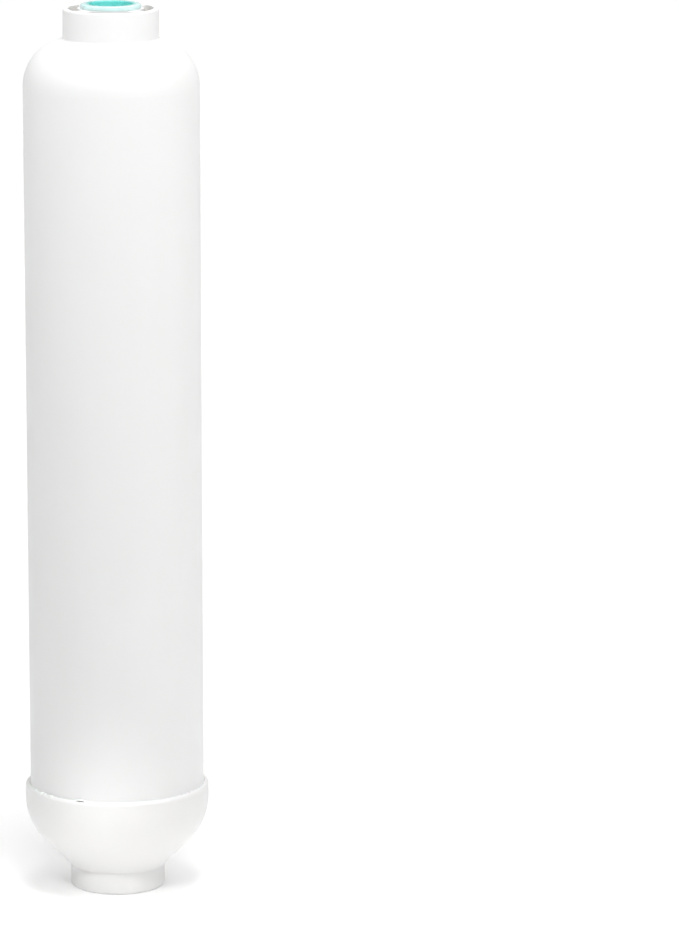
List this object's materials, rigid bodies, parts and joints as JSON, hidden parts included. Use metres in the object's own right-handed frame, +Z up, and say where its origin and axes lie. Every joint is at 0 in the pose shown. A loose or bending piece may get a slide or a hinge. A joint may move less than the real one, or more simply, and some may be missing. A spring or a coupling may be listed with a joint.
{
  "type": "inline water filter",
  "caption": "Slim round canister with a domed cap at each end, a threaded port in each end face, an inner carbon cartridge and a push-in dust plug.",
  "frame": {"origin": "centre of the lower port's face, on which the filter stands", "axes": "+Z up along the canister's axis, from the lower port to the upper port; +X and +Y are square to it, and a web between two core pockets lies at 45 degrees to each"},
  "size_m": [0.0538, 0.0538, 0.2603],
  "materials": {
    "housing_plastic": "satin",
    "end_cap_plastic": "satin",
    "weld_plastic": "gloss",
    "plug_plastic": "gloss",
    "cartridge_plastic": "satin",
    "seal_rubber": "matte",
    "mesh_nylon": "matte",
    "felt": "matte",
    "screen_plastic": "satin",
    "carbon": "matte",
    "foam": "matte"
  },
  "bodies": {
    "canister": {"housing_body": "housing_plastic", "end_cap": "end_cap_plastic", "weld_flash": "weld_plastic", "cartridge_tube": "cartridge_plastic", "cartridge_inlet_cap": "cartridge_plastic", "cartridge_outlet_cap": "cartridge_plastic", "spigot_seal_lower": "seal_rubber", "spigot_seal_upper": "seal_rubber", "inlet_mesh": "mesh_nylon", "inlet_felt_pad": "felt", "lower_carbon_screen": "screen_plastic", "carbon_bed": "carbon", "upper_carbon_screen": "screen_plastic", "expansion_foam_pad": "foam", "outlet_felt_pad": "felt", "outlet_mesh": "mesh_nylon"},
    "plug": {"port_plug": "plug_plastic"}
  },
  "joints": [
    {"name": "plug_pull", "type": "slide", "parent": "canister", "child": "plug", "axis": [0, 0, 1], "range_m": [0, 0.06]}
  ]
}
